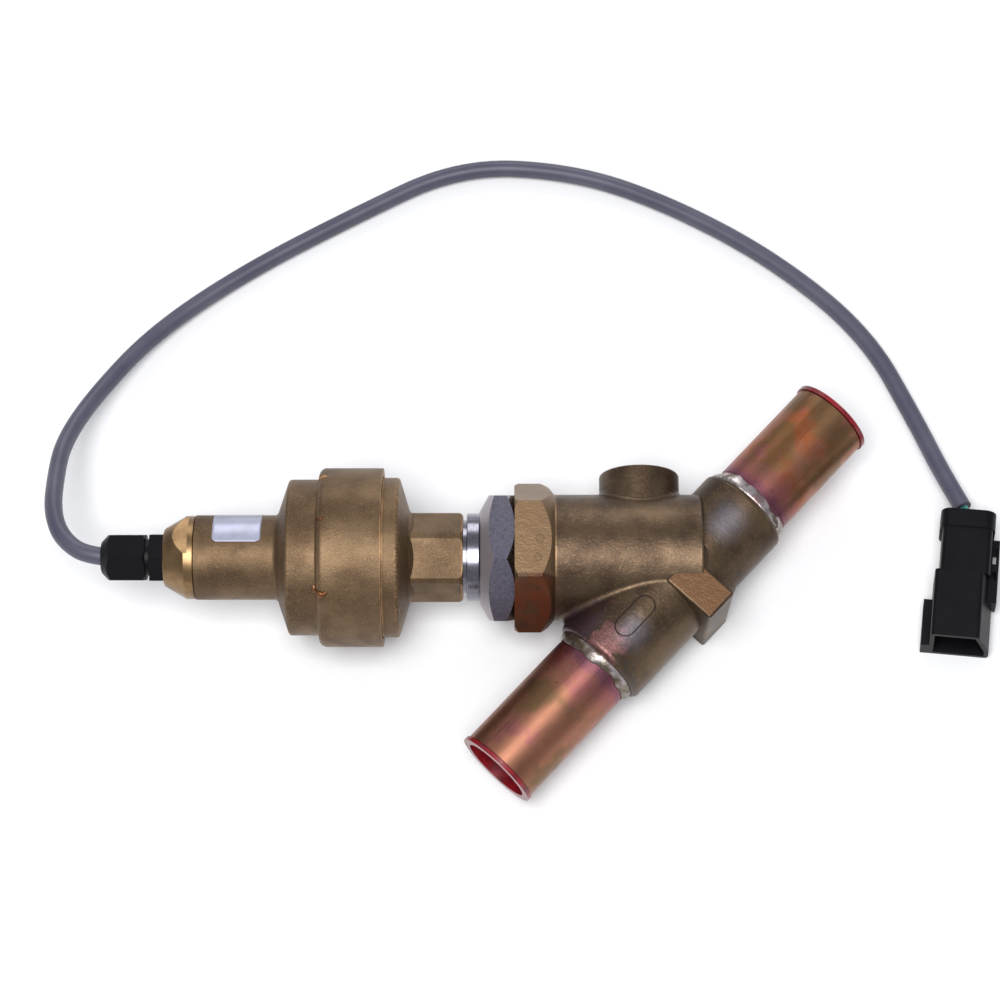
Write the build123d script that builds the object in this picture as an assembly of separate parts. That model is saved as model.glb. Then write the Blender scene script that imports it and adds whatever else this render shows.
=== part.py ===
from build123d import *
import os
from math import acos, asin, atan2, cos, hypot, radians, sin, tan

# All sizes are in millimetres. The valve is drawn in its own frame first: X runs along the long
# axis away from the motor, Y points to the boss, and the tube axis lies in the XY plane and meets
# the long axis at the origin. The finished pieces are then laid on a table, Z up.

# Pieces that are fused reach this far into each other, and a limit this far past a hexagon's corners
fuse_overlap = 1.0
hex_margin = 0.1

# Tubes and the protective plugs in their ends
tube_angle = 47.0
tube_radius = 14.2875
tube_wall = 1.27
tube_sizing = 0.2
tube_deburr = 0.3
inlet_reach = 101.0
outlet_reach = 69.2
plug_flange_radius = 14.9
plug_flange = 1.5
plug_clearance = 0.08
plug_depth = 10.0
plug_wall = 0.8
plug_round = 0.6

# Cast body
barrel_radius = 21.75
barrel_past_crossing = 0.7
barrel_edge_round = 0.8
body_length = 64.3
collar_flats = 46.5
collar_length = 8.9
collar_chamfer = 3.4
collar_run_out = 1.5
collar_bevel = 1.4
collar_bevel_rise = 2.2
inlet_branch_radius = 17.3
inlet_branch_length = 51.7
outlet_branch_radius = 16.7
outlet_branch_length = 24.4
branch_round = 2.0
inlet_socket_depth = 16.0
outlet_socket_depth = 14.0
braze_leg = 3.8
braze_height = 1.9
braze_overlap = 0.9
braze_edge = 0.1
braze_waist_place = 0.25
braze_waist_height = 0.55
braze_clearance = 0.3
boss_radius = 13.9
boss_height = 29.6
boss_place = 20.1
boss_edge_round = 1.0
block_start = 5.7
block_end = 18.1
block_side = 20.06
block_half_height = 18.7
block_edge_round = 0.9
tablet_width = 6.6
tablet_length = 16.0
tablet_place = 35.0
tablet_side = 2.0
tablet_rise = 0.35
casting_fillet = 2.2
boss_fillet = 1.8
flow_bore = 11.0
inlet_bore_end = 28.0
outlet_bore_start = 6.0

# Seat, guide and piston
seat_radius = 12.0
seat_thickness = 6.0
seat_place = 16.0
seat_outflow = 8.0
seat_hole = 6.0
seat_chamfer = 1.5
chamber_radius = 15.0
port_radius = 9.0
port_place = 32.0
port_side = 18.0
piston_radius = 9.0
piston_length = 20.0
piston_gap = 0.25
running_clearance = 0.05
piston_stroke = 13.0
piston_round = 0.6
nose_clearance = 0.15
nose_skirt = 7.0
nose_tip = 3.5
nose_length = 10.5
nose_bore = 8.0
seal_width = 2.2
seal_height = 1.7
nut_radius = 6.2
nut_length = 7.0
screw_radius = 3.5
screw_lead = 2.0
screw_chamfer = 0.6
window_width = 9.0
window_length = 15.0
window_count = 4
window_step = 1.5

# Steel bonnet
bonnet_flats = 43.0
bonnet_spigot = 14.0
bonnet_spigot_radius = 17.5
bonnet_hex_chamfer = 2.8
bonnet_hex_length = 4.1
bonnet_cone = 5.4
bonnet_ring_length = 4.1
bonnet_ring_radius = 15.3
bonnet_ring_round = 0.4
recess_length = 1.3
recess_radius = 13.0
motor_spigot_radius = 11.2
motor_spigot = 13.7
bonnet_bore = 9.6
bonnet_bore_depth = 22.0
screw_gap = 0.5
ring_section = 1.6
groove_length = 2.1
ring_inset = 4.0

# Front motor housing
housing_clearance = 0.05
front_length = 27.6
front_drum_radius = 27.6
front_drum_length = 5.6
front_drum_round = 1.3
front_cone_length = 3.4
front_cone_radius = 16.3
neck_flats = 27.6
neck_corner_radius = 15.4
neck_round = 1.5
neck_fillet = 1.8

# Rear motor housing
band_radius = 30.95
band_length = 21.9
band_round = 2.4
band_foot_round = 0.6
rounds_gap = 0.3  # flat left between the band's two rounds
shoulder_radius = 27.0
shoulder_length = 10.4
shoulder_cone = 4.2
shoulder_round = 1.2
rear_neck_radius = 14.65
rear_neck_end = 28.1
rear_neck_fillet = 1.6
cavity_radius = 24.5
front_cavity_depth = 5.0
rear_cavity_depth = 24.6
neck_bore = 12.1

# Stator, rotor and their bearings
cup_radius = 24.4
cup_length = 14.0
cup_wall = 1.2
claw_count = 6
claw_share = 0.55
claw_clearance = 1.8
can_radius = 10.6
can_wall = 0.4
can_length = 58.0
can_overlap = 4.0
can_round = 2.0
air_gap = 0.5
stator_gap = 0.3
stator_clearance = 0.4
bobbin_wall = 1.0
coil_height = 8.4
magnet_wall = 3.2
magnet_length = 27.0
journal_radius = 3.0
bearing_radius = 8.0
bearing_width = 5.0
bearing_ring_wall = 1.2
ball_count = 8
ball_clearance = 0.02
bearing_inset = 0.3
bush_length = 5.0
bush_gap = 1.7
lead_radius = 0.55
lead_count = 4
board_thickness = 1.6
board_place = 8.5

# End cap and cable gland
cap_radius = 14.4
cap_face_radius = 10.2
cap_length = 11.0
cap_cylinder = 3.4
cap_flats = 23.9
cap_flats_length = 7.6
cap_flats_start = 1.2
cap_edge = 0.4
cap_spigot = 7.6
cap_bore = 4.5
gland_flats = 15.9
gland_flange = 5.0
gland_groove = 1.6
gland_groove_radius = 6.4
gland_stub = 8.0
gland_stub_radius = 5.95
gland_neck_radius = 5.3
gland_neck = 8.0
nut_flats = 15.6
nut_hex_length = 11.8
nut_dome = 3.5
nut_tip_radius = 5.4
nut_corner_round = 0.7
nut_shoulder_round = 1.2
nut_tip_round = 0.8
cable_radius = 3.15
cable_clearance = 0.12
seal_length = 3.4
core_radius = 0.85
core_spread = 1.25
core_count = 4
core_turns = (135, 225, 45, 315)
core_gather = 0.4

# Connector, drawn with its rear at the origin, its mouth along X and Z up
shell_length = 48.0
shell_collar_length = 6.5
shell_collar_width = 19.0
shell_collar_round = 4.0
shell_collar_rise = 0.5
shell_body_width = 17.2
shell_body_height = 16.0
shell_body_round = 2.0
shroud_start = 23.5
shroud_width = 20.4
shroud_height = 18.2
shroud_slope = 4.0
shroud_slope_start = 5.5
shroud_round = 1.6
shroud_wall = 1.5
shroud_depth = 18.0
shell_lift = 1.1
tab_width = 2.9
tab_start = 31.0
tab_height = 7.5
rail_width = 2.9
rail_start = 8.5
rail_end = 32.0
rail_low = 3.5
rail_high = 11.5
rail_wall = 0.7
rail_windows = ((11.5, 17.5), (20.5, 23.5))
rear_pocket_depth = 7.0
rear_pocket_side = 12.0
rear_pocket_round = 2.0
seal_recess = 1.0
pin_radius = 0.8
pin_length = 22.0
pin_pitch = 6.2
pin_recess = 7.2
wedge_length = 3.2
wedge_clearance = 0.2

# How the hexagons and the cap's flats are turned about the long axis, from the boss side
view_turn = 107.5
cap_flats_turn = 66.5

# Where the connector lies on the table, and the route of the cable from the gland to it
connector_place = (114.3, -122.7)
connector_turn = 216.0
sheath_inside = 8.0
cable_route = [
    (-98.640, 78.260, 38.379), (-107.196, 87.312, 39.432), (-108.7, 99.9, 38.8),
    (-103.3, 112.0, 34.8), (-93.3, 123.6, 28.2), (-79.6, 136.7, 20.1), (-57.4, 145.9, 11.8),
    (-23.0, 151.6, 4.9), (17.5, 144.8, 3.2), (59.5, 131.2, 3.2), (103.3, 115.1, 3.2),
    (129.8, 80.1, 3.2), (142.7, 43.2, 3.2), (150.2, -0.8, 3.2), (149.0, -46.7, 3.2),
    (133.1, -84.2, 3.3), (123.2, -103.4, 6.0), (116.5, -118.6, 8.6)]
wire_gap = 0.6
arc_share = 0.45

# Places along the long axis that follow from the sizes
collar_face = barrel_past_crossing - body_length
spigot_end = collar_face + bonnet_spigot
ring_face = collar_face - bonnet_hex_chamfer - bonnet_hex_length - bonnet_cone - bonnet_ring_length
front_end = ring_face - recess_length
motor_spigot_end = front_end - motor_spigot
joint_face = front_end - front_length
band_start = joint_face - band_length
shoulder_start = band_start - shoulder_length
rear_end = shoulder_start - shoulder_cone - rear_neck_end
cap_face = rear_end - cap_length
gland_face = cap_face - gland_flange
nut_face = gland_face - gland_groove
nut_tip = nut_face - nut_hex_length - nut_dome
seat_face = -seat_place - seat_thickness
stator_front = joint_face + front_cavity_depth - stator_clearance
stator_rear = stator_front - 2 * cup_length
can_start = motor_spigot_end + can_overlap
can_end = can_start - can_length
bearing_face = motor_spigot_end + bearing_width + bearing_inset
bonnet_ring_start = collar_face + ring_inset
cap_ring_start = rear_end + ring_inset / 2
piston_front = seat_face - piston_gap
piston_back = piston_front - piston_length
socket_radius = tube_radius - tube_sizing


def turned(points, rounds=()):
    # A piece turned about the long axis from (place, radius) points, some corners rounded
    outline = make_face(Polyline(*points, close=True))
    for corner, size in rounds:
        outline = fillet(outline.vertices().sort_by_distance((corner[0], corner[1], 0))[0], size)
    return revolve(outline, Axis.X)


def rod(start, end, radius, y=0.0, z=0.0):
    # A plain round rod or hole along the long axis
    return Plane(origin=(start, y, z), z_dir=(1, 0, 0)) * extrude(Circle(radius), end - start)


def tube(start, end, outer, inner):
    return rod(start, end, outer) - rod(start, end, inner)


def hexagon(start, end, flats, turn):
    # A hexagonal bar along the long axis, one corner turned from the boss side
    outline = RegularPolygon(flats / 2, 6, major_radius=False, rotation=turn)
    return Plane(origin=(start, 0, 0), x_dir=(0, 1, 0), z_dir=(1, 0, 0)) * extrude(outline, end - start)


def ring_of(count, shape, turn=0.0):
    # Copies of a shape spaced evenly round the long axis
    return [Rot(turn + 360 / count * i, 0, 0) * shape for i in range(count)]


def towards_inlet(shape):
    return Rot(0, 0, tube_angle + 180) * shape


def towards_outlet(shape):
    return Rot(0, 0, tube_angle) * shape


def corner_radius(flats):
    return flats / 2 / cos(radians(30))


def body_outside():
    # Barrel, hexagonal collar, boss, two branches and the raised block, fused with cast fillets
    chamfer_start = collar_face + collar_length
    chamfer_end = chamfer_start + collar_chamfer
    collar_end = chamfer_end + collar_run_out
    corner = corner_radius(collar_flats) + hex_margin
    limit = turned([
        (collar_face, 0), (collar_face, collar_flats / 2 + collar_bevel_rise),
        (collar_face + collar_bevel, corner), (chamfer_start, corner),
        (chamfer_end, corner - collar_chamfer), (collar_end, barrel_radius), (collar_end, 0)])
    collar = limit & hexagon(collar_face, collar_end, collar_flats, 0)
    barrel = turned(
        [(collar_face + fuse_overlap, 0), (collar_face + fuse_overlap, barrel_radius),
         (barrel_past_crossing, barrel_radius), (barrel_past_crossing, 0)],
        [((barrel_past_crossing, barrel_radius), barrel_edge_round)])
    boss = Pos(-boss_place, 0, 0) * Rot(0, 0, 90) * turned(
        [(0, 0), (0, boss_radius), (boss_height, boss_radius), (boss_height, 0)],
        [((boss_height, boss_radius), boss_edge_round)])
    inlet = towards_inlet(turned(
        [(0, 0), (0, inlet_branch_radius), (inlet_branch_length, inlet_branch_radius),
         (inlet_branch_length, 0)],
        [((inlet_branch_length, inlet_branch_radius), branch_round)]))
    outlet = towards_outlet(turned(
        [(-block_start, 0), (-block_start, outlet_branch_radius),
         (outlet_branch_length, outlet_branch_radius), (outlet_branch_length, 0)],
        [((outlet_branch_length, outlet_branch_radius), branch_round)]))
    cast = barrel + boss
    cast = fillet(new_edges(barrel, boss, combined=cast), boss_fillet)
    whole = cast + inlet
    # the cast fillet takes at most half of the step between the barrel and the branch
    joint_fillet = min(casting_fillet, (barrel_radius - inlet_branch_radius) / 2)
    cast = fillet(new_edges(cast, inlet, combined=whole).sort_by(SortBy.LENGTH)[-1], joint_fillet)
    return cast + outlet + raised_block() + cast_tablet() + collar


def cast_tablet():
    # Shallow oblong pad on the inlet branch
    outline = Pos(tablet_place, tablet_side) * SlotOverall(tablet_length, tablet_width)
    return towards_inlet(extrude(outline, inlet_branch_radius + fuse_overlap)
                         & rod(0, inlet_branch_length - branch_round, inlet_branch_radius + tablet_rise))


def raised_block():
    # The flat-faced rib across the crossing, square to the tubes
    block = towards_outlet(
        Pos(-(block_start + block_end) / 2, -block_side / 2, 0)
        * Box(block_end - block_start, block_side, 2 * block_half_height))
    return fillet(block.edges(), block_edge_round)


def valve_body():
    # The casting with its bonnet bore, seat bore, side port and the two sockets and flow bores
    bores = [
        rod(collar_face, spigot_end, bonnet_spigot_radius),
        rod(spigot_end, seat_face, chamber_radius),
        rod(seat_face, -seat_place, seat_radius),
        rod(-seat_place, -seat_place + seat_outflow, seat_hole + seat_chamfer),
        Pos(-port_place, 0, 0) * Rot(0, 0, -90) * rod(0, port_side, port_radius),
        towards_inlet(rod(inlet_branch_length - inlet_socket_depth, inlet_branch_length, socket_radius)),
        towards_inlet(rod(inlet_bore_end, inlet_branch_length, flow_bore)),
        towards_outlet(rod(outlet_branch_length - outlet_socket_depth, outlet_branch_length, socket_radius)),
        towards_outlet(rod(-outlet_bore_start, outlet_branch_length, flow_bore)),
    ]
    solid = body_outside()
    for bore in bores:
        solid -= bore
    return solid


def seat_ring():
    # Hardened ring with a chamfered hole that the piston closes
    return turned([
        (seat_face, seat_hole), (seat_face, seat_radius), (-seat_place, seat_radius),
        (-seat_place, seat_hole + seat_chamfer), (-seat_place - seat_chamfer, seat_hole)])


def guide_cage():
    # Slotted sleeve between the bonnet and the seat that guides the piston
    cage = tube(spigot_end, seat_face, chamber_radius, piston_radius + running_clearance)
    for window in ring_of(window_count, Pos(seat_face - window_step - window_length / 2, 0, chamber_radius)
                          * Box(window_length, window_width, 2 * chamber_radius), 45):
        cage -= window
    return cage


def piston():
    # Hollow piston with a stepped nose that reaches into the seat
    skirt = seat_hole - nose_clearance
    step = piston_front - seal_height
    nut_end = piston_back + nut_length
    outside = turned([
        (piston_back, 0), (piston_back, piston_radius), (step, piston_radius),
        (step, skirt), (piston_front + nose_skirt, skirt),
        (piston_front + nose_length, nose_tip), (piston_front + nose_length, 0)],
        [((piston_back, piston_radius), piston_round)])
    return (outside - rod(piston_back, nut_end, nut_radius)
            - rod(nut_end, piston_front + nose_bore, screw_radius + screw_gap))


def seat_seal():
    # Soft ring pressed on the step of the piston
    inner = seat_hole - nose_clearance
    return tube(piston_front - seal_height, piston_front, inner + seal_width, inner)


def screw_nut():
    # Nut pressed in the piston's back, which the lead screw drives
    return tube(piston_back, piston_back + nut_length, nut_radius, screw_radius + running_clearance)


def bonnet():
    # Steel bonnet: thread, hexagon, cone, polished ring and the neck that carries the motor
    corner = corner_radius(bonnet_flats) + hex_margin
    hex_start = collar_face - bonnet_hex_chamfer - bonnet_hex_length
    cone_end = ring_face + bonnet_ring_length
    middle = turned([
        (ring_face, 0), (ring_face, bonnet_ring_radius), (cone_end, bonnet_ring_radius),
        (hex_start, corner), (collar_face - bonnet_hex_chamfer, corner),
        (collar_face, bonnet_flats / 2 + hex_margin), (collar_face, 0)],
        [((ring_face, bonnet_ring_radius), bonnet_ring_round)])
    middle &= hexagon(ring_face, collar_face, bonnet_flats, view_turn % 60)
    outside = (middle
               + rod(collar_face - fuse_overlap, spigot_end, bonnet_spigot_radius)
               + rod(front_end, ring_face + fuse_overlap, recess_radius)
               + rod(can_start, front_end + fuse_overlap, motor_spigot_radius)
               + rod(motor_spigot_end, can_start, can_radius - can_wall))
    groove = tube(bonnet_ring_start, bonnet_ring_start + groove_length,
                  bonnet_spigot_radius + fuse_overlap, bonnet_spigot_radius - ring_section)
    return (outside - groove
            - rod(spigot_end - bonnet_bore_depth, spigot_end, bonnet_bore)
            - rod(motor_spigot_end, spigot_end, screw_radius + screw_gap)
            - rod(motor_spigot_end, bearing_face, bearing_radius))


def sealing_ring(start, inner):
    # A ring of round section in a groove, flattened where it seals
    half = ring_section / 2
    section = Pos(start + half, inner + half) * Circle(half)
    return revolve(section, Axis.X)


def front_housing():
    # Cast shell with a drum, a short cone and a hexagonal neck over the bonnet's spigot
    drum_end = joint_face + front_drum_length
    cone_end = drum_end + front_cone_length
    drum = turned([
        (joint_face, 0), (joint_face, front_drum_radius), (drum_end, front_drum_radius),
        (cone_end, front_cone_radius), (cone_end, 0)],
        [((drum_end, front_drum_radius), front_drum_round)])
    neck_start = cone_end - fuse_overlap
    limit = turned([
        (neck_start, 0), (neck_start, neck_corner_radius), (front_end, neck_corner_radius), (front_end, 0)],
        [((front_end, neck_corner_radius), neck_round)])
    neck = limit & hexagon(neck_start, front_end, neck_flats, (view_turn + 30) % 60)
    skirt = turned([
        (neck_start, 0), (neck_start, front_cone_radius), (cone_end, front_cone_radius),
        (cone_end + neck_fillet, neck_flats / 2), (cone_end + neck_fillet, 0)])
    return (drum + neck + skirt
            - rod(joint_face, joint_face + front_cavity_depth, cavity_radius)
            - rod(joint_face, front_end, motor_spigot_radius + housing_clearance))


def rear_housing():
    # Cast shell with the wide band, the shoulder and the long neck; the band's two rounds share its step
    cone_start = shoulder_start - shoulder_cone
    share = min(1, (band_radius - shoulder_radius - rounds_gap) / (band_round + band_foot_round))
    outside = turned([
        (rear_end, 0), (rear_end, rear_neck_radius), (cone_start, rear_neck_radius),
        (shoulder_start, shoulder_radius), (band_start, shoulder_radius), (band_start, band_radius),
        (joint_face, band_radius), (joint_face, 0)],
        [((cone_start, rear_neck_radius), rear_neck_fillet),
         ((shoulder_start, shoulder_radius), shoulder_round),
         ((band_start, band_radius), share * band_round),
         ((band_start, shoulder_radius), share * band_foot_round)])
    groove = tube(joint_face - ring_section, joint_face,
                  cavity_radius + ring_section + groove_length, cavity_radius + ring_section)
    return (outside - groove
            - rod(joint_face - rear_cavity_depth, joint_face, cavity_radius)
            - rod(rear_end, joint_face, neck_bore))


def stator_cup(start, side):
    # Steel cup with claw teeth along its bore; side is 1 where the open end faces along X
    inner = can_radius + stator_gap
    reach = inner + 2 * cup_wall
    half_gap = reach * tan(radians(180 / claw_count * (1 - claw_share)))
    wedge = Polygon((0, 0), (reach, -half_gap), (reach, half_gap), align=None)
    slot = Plane(origin=(cup_wall, 0, 0), x_dir=(0, 1, 0), z_dir=(1, 0, 0)) * extrude(wedge, cup_length)
    claws = tube(0, cup_length - claw_clearance, inner + cup_wall, inner)
    for cutter in ring_of(claw_count, slot):
        claws -= cutter
    plate = tube(0, cup_wall, cup_radius, inner)
    cup = tube(0, cup_length, cup_radius, cup_radius - cup_wall) + plate + claws
    if side > 0:
        return Pos(start, 0, 0) * cup
    return Pos(start + cup_length, 0, 0) * Rot(180 / claw_count, 0, 180) * cup


def bobbin(start, side):
    # Moulded former in a cup, clear of the cup's plate and level with its open end
    inner = can_radius + stator_gap + cup_wall
    low = start + (cup_wall if side > 0 else 0)
    high = low + cup_length - cup_wall
    outer = cup_radius - cup_wall
    return (tube(low, high, outer, inner)
            - tube(low + bobbin_wall, high - bobbin_wall, outer + fuse_overlap, inner + bobbin_wall))


def coil(start, side):
    # Copper winding between the bobbin's two flanges
    inner = can_radius + stator_gap + cup_wall + bobbin_wall
    low = start + (cup_wall if side > 0 else 0) + bobbin_wall
    return tube(low, low + cup_length - cup_wall - 2 * bobbin_wall, inner + coil_height, inner)


def rotor_can():
    # Thin drawn can, closed and rounded at the motor's rear
    outer = turned([(can_end, 0), (can_end, can_radius), (can_start, can_radius), (can_start, 0)],
                   [((can_end, can_radius), can_round)])
    inner = turned([(can_end + can_wall, 0), (can_end + can_wall, can_radius - can_wall),
                    (can_start, can_radius - can_wall), (can_start, 0)],
                   [((can_end + can_wall, can_radius - can_wall), can_round - can_wall)])
    return outer - inner


def rear_bush():
    # Plain bearing of the rotor in the can's closed end
    start = can_end + can_wall + bush_gap
    return tube(start, start + bush_length, can_radius - can_wall, journal_radius + running_clearance)


def magnet_start():
    return (stator_front + stator_rear - magnet_length) / 2


def rotor_magnet():
    outer = can_radius - can_wall - air_gap
    return tube(magnet_start(), magnet_start() + magnet_length, outer, outer - magnet_wall)


def rotor_hub():
    outer = can_radius - can_wall - air_gap - magnet_wall
    return tube(magnet_start(), magnet_start() + magnet_length, outer, journal_radius)


def lead_screw():
    # Threaded shaft in the piston's nut, with a thinner journal through the rotor
    start = can_end + can_wall + bush_gap + screw_gap
    step = motor_spigot_end - screw_gap
    end = piston_front + nose_bore - piston_stroke - screw_gap
    return turned([
        (start, 0), (start, journal_radius), (step, journal_radius), (step, screw_radius),
        (end - screw_chamfer, screw_radius), (end, screw_radius - screw_chamfer), (end, 0)])


def bearing_ring_outer():
    inner = bearing_radius - bearing_ring_wall
    return tube(bearing_face - bearing_width, bearing_face, bearing_radius, inner)


def bearing_ring_inner():
    return tube(bearing_face - bearing_width, bearing_face, screw_radius + bearing_ring_wall, screw_radius)


def bearing_balls():
    low = screw_radius + bearing_ring_wall
    high = bearing_radius - bearing_ring_wall
    place = Pos(bearing_face - bearing_width / 2, (low + high) / 2, 0)
    return Compound(ring_of(ball_count, place * Sphere((high - low) / 2 - ball_clearance)))


def end_cap():
    # Turned brass cap: cone, cylinder with two wrench flats, and a spigot in the housing's neck
    flats_start = cap_face + cap_flats_start
    flats_end = flats_start + cap_flats_length
    spigot = rear_end + cap_spigot
    cap = turned([
        (cap_face, 0), (cap_face, cap_face_radius - cap_edge), (cap_face + cap_edge, cap_face_radius),
        (rear_end - cap_cylinder, cap_radius), (rear_end - cap_edge, cap_radius),
        (rear_end, cap_radius - cap_edge), (rear_end, 0)])
    between_flats = Rot(cap_flats_turn, 0, 0) * Pos((flats_start + flats_end) / 2, 0, 0) * Box(
        cap_flats_length, cap_flats, 4 * cap_radius)
    cap -= rod(flats_start, flats_end, 2 * cap_radius) - between_flats
    groove = tube(cap_ring_start, cap_ring_start + groove_length,
                  neck_bore + fuse_overlap, neck_bore - ring_section)
    return (cap + rod(rear_end, spigot, neck_bore) - groove
            - rod(cap_face, cap_face + gland_stub, gland_stub_radius)
            - rod(cap_face, spigot, cap_bore))


def gland_body():
    # Moulded hexagon with a threaded stub in the cap and a neck in the nut
    flange = hexagon(gland_face, cap_face, gland_flats, view_turn % 60)
    bore = cable_radius + cable_clearance
    return (flange
            + rod(cap_face, cap_face + gland_stub, gland_stub_radius)
            + rod(nut_face, gland_face, gland_groove_radius)
            + rod(nut_face - gland_neck, nut_face, gland_neck_radius)
            - rod(nut_face - gland_neck, cap_face + gland_stub, bore))


def gland_nut():
    # Dome nut: hexagon with a rounded nose
    corner = corner_radius(nut_flats)
    limit = turned([
        (nut_face, 0), (nut_face, corner - nut_corner_round), (nut_face - nut_corner_round, corner),
        (nut_face - nut_hex_length, corner), (nut_tip, nut_tip_radius), (nut_tip, 0)],
        [((nut_face - nut_hex_length, corner), nut_shoulder_round),
         ((nut_tip, nut_tip_radius), nut_tip_round)])
    nut = limit & hexagon(nut_tip, nut_face, nut_flats, view_turn % 60)
    return (nut - rod(seal_start(), nut_face, gland_neck_radius)
            - rod(nut_tip, nut_face, cable_radius + cable_clearance))


def seal_start():
    return nut_face - gland_neck - seal_length


def gland_seal():
    # Rubber sleeve that the nut squeezes on the cable
    return tube(seal_start(), seal_start() + seal_length, gland_neck_radius, cable_radius + cable_clearance)


def terminal_board():
    # Round board in the neck that joins the cable to the windings
    start = rear_end + board_place
    return rod(start, start + board_thickness, neck_bore)


def winding_leads():
    # Leads from the rear coil along the neck to the terminal board
    start = rear_end + board_place + board_thickness
    place = (can_radius + neck_bore) / 2
    return Compound(ring_of(lead_count, rod(start, stator_rear, lead_radius, place), 45))


def cable_cores():
    # Bare cores from the cut sheath inside the gland to the terminal board
    start = nut_tip + sheath_inside + wire_gap
    return Compound(ring_of(core_count, rod(start, rear_end + board_place, core_radius, core_spread), 45))


def stub(reach, branch_end, socket_depth):
    # Copper tube along X: its end sized down to enter the socket, its open end deburred outside
    start = branch_end - socket_depth
    sized_end = branch_end + braze_leg + braze_clearance
    inner = tube_radius - tube_wall
    return turned([
        (start, inner), (start, socket_radius), (sized_end, socket_radius), (sized_end, tube_radius),
        (reach - tube_deburr, tube_radius), (reach, tube_radius - tube_deburr), (reach, inner)])


def braze(branch_end, branch_radius):
    # Silver braze that fills the corner between the tube and the rounded socket
    socket = turned(
        [(0, 0), (0, branch_radius), (branch_end, branch_radius), (branch_end, 0)],
        [((branch_end, branch_radius), branch_round)])
    start = branch_end - braze_overlap
    end = branch_end + braze_leg
    ring = turned([
        (start, socket_radius), (start, socket_radius + braze_height),
        (branch_end + braze_waist_place * braze_leg, socket_radius + braze_waist_height * braze_height),
        (end, socket_radius + braze_edge), (end, socket_radius)])
    return ring - socket


def plug(reach):
    # Moulded plug: a flange against the tube's end and a thin cup inside the tube
    skirt = tube_radius - tube_wall - plug_clearance
    flange_end = reach + plug_flange
    outside = turned([
        (reach - plug_depth, 0), (reach - plug_depth, skirt), (reach, skirt), (reach, plug_flange_radius),
        (flange_end, plug_flange_radius), (flange_end, 0)],
        [((reach - plug_depth, skirt), plug_round)])
    return outside - rod(reach - plug_depth + plug_wall, flange_end, skirt - plug_wall)


def shroud_outline(inset):
    # Section of the connector's mouth: flat top and bottom, one side sloping in
    half = shroud_width / 2
    points = [(-half, 0), (half, 0), (half, shroud_slope_start),
              (half - shroud_slope, shroud_height), (-half, shroud_height)]
    outline = make_face(Polyline(*points, close=True))
    outline = fillet(outline.vertices(), shroud_round)
    return offset(outline, -inset) if inset else outline


def along_connector(start, outline, length):
    # A section in the connector's width and height, drawn out along it
    return Plane(origin=(start, 0, 0), x_dir=(0, 1, 0), z_dir=(1, 0, 0)) * extrude(outline, length)


def block_section(width, height, rise, round_size):
    return Pos(0, rise + height / 2) * RectangleRounded(width, height, round_size)


def core_places():
    return [(side * pin_pitch / 2, shroud_height / 2 + level * pin_pitch / 2)
            for side in (-1, 1) for level in (-1, 1)]


def block_between(along, across, up):
    # A box from the first to the second value of each pair
    return Pos(sum(along) / 2, sum(across) / 2, sum(up) / 2) * Box(
        along[1] - along[0], across[1] - across[0], up[1] - up[0])


def connector_shell():
    # Moulded shell: rear collar, body, latch rail with two windows, keying tab and open shroud
    shell = along_connector(0, block_section(
        shell_collar_width, shell_body_height + 2 * shell_collar_rise,
        shell_lift - shell_collar_rise, shell_collar_round), shell_collar_length)
    shell += along_connector(shell_collar_length, block_section(
        shell_body_width, shell_body_height,
        shell_lift, shell_body_round), shroud_start - shell_collar_length)
    shell += along_connector(shroud_start, shroud_outline(0), shell_length - shroud_start)
    edge = -shroud_width / 2
    shell += block_between(
        (tab_start, shell_length), (edge - tab_width, edge + fuse_overlap), (0, tab_height))
    side = shell_body_width / 2
    rail_up = (rail_low, rail_high)
    rail = block_between((rail_start, rail_end), (side - fuse_overlap, side + rail_width), rail_up)
    for window in rail_windows:
        rail -= block_between(window, (side + rail_wall, side + rail_width - rail_wall), rail_up)
    shell += rail
    shell -= along_connector(shell_length - shroud_depth, shroud_outline(shroud_wall), shroud_depth)
    shell -= rear_pocket(0)
    for across, up in core_places():
        shell -= rod(0, shell_length, pin_radius, across, up)
    return shell


def rear_pocket(start):
    outline = RectangleRounded(rear_pocket_side, rear_pocket_side, rear_pocket_round)
    return along_connector(start, Pos(0, shroud_height / 2) * outline, rear_pocket_depth - start)


def connector_seal():
    # Rubber block in the rear pocket, one hole for each core
    seal = rear_pocket(seal_recess)
    for across, up in core_places():
        seal -= rod(0, shell_length, pin_radius, across, up)
    return seal


def connector_pins():
    tip = shell_length - pin_recess
    return Compound([rod(tip - pin_length, tip, pin_radius, across, up) for across, up in core_places()])


def connector_wedge():
    # Coloured block that locks the contacts at the bottom of the shroud
    start = shell_length - shroud_depth
    block = along_connector(start, shroud_outline(shroud_wall + wedge_clearance), wedge_length)
    for across, up in core_places():
        block -= rod(start, start + wedge_length, pin_radius, across, up)
    return block


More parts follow.
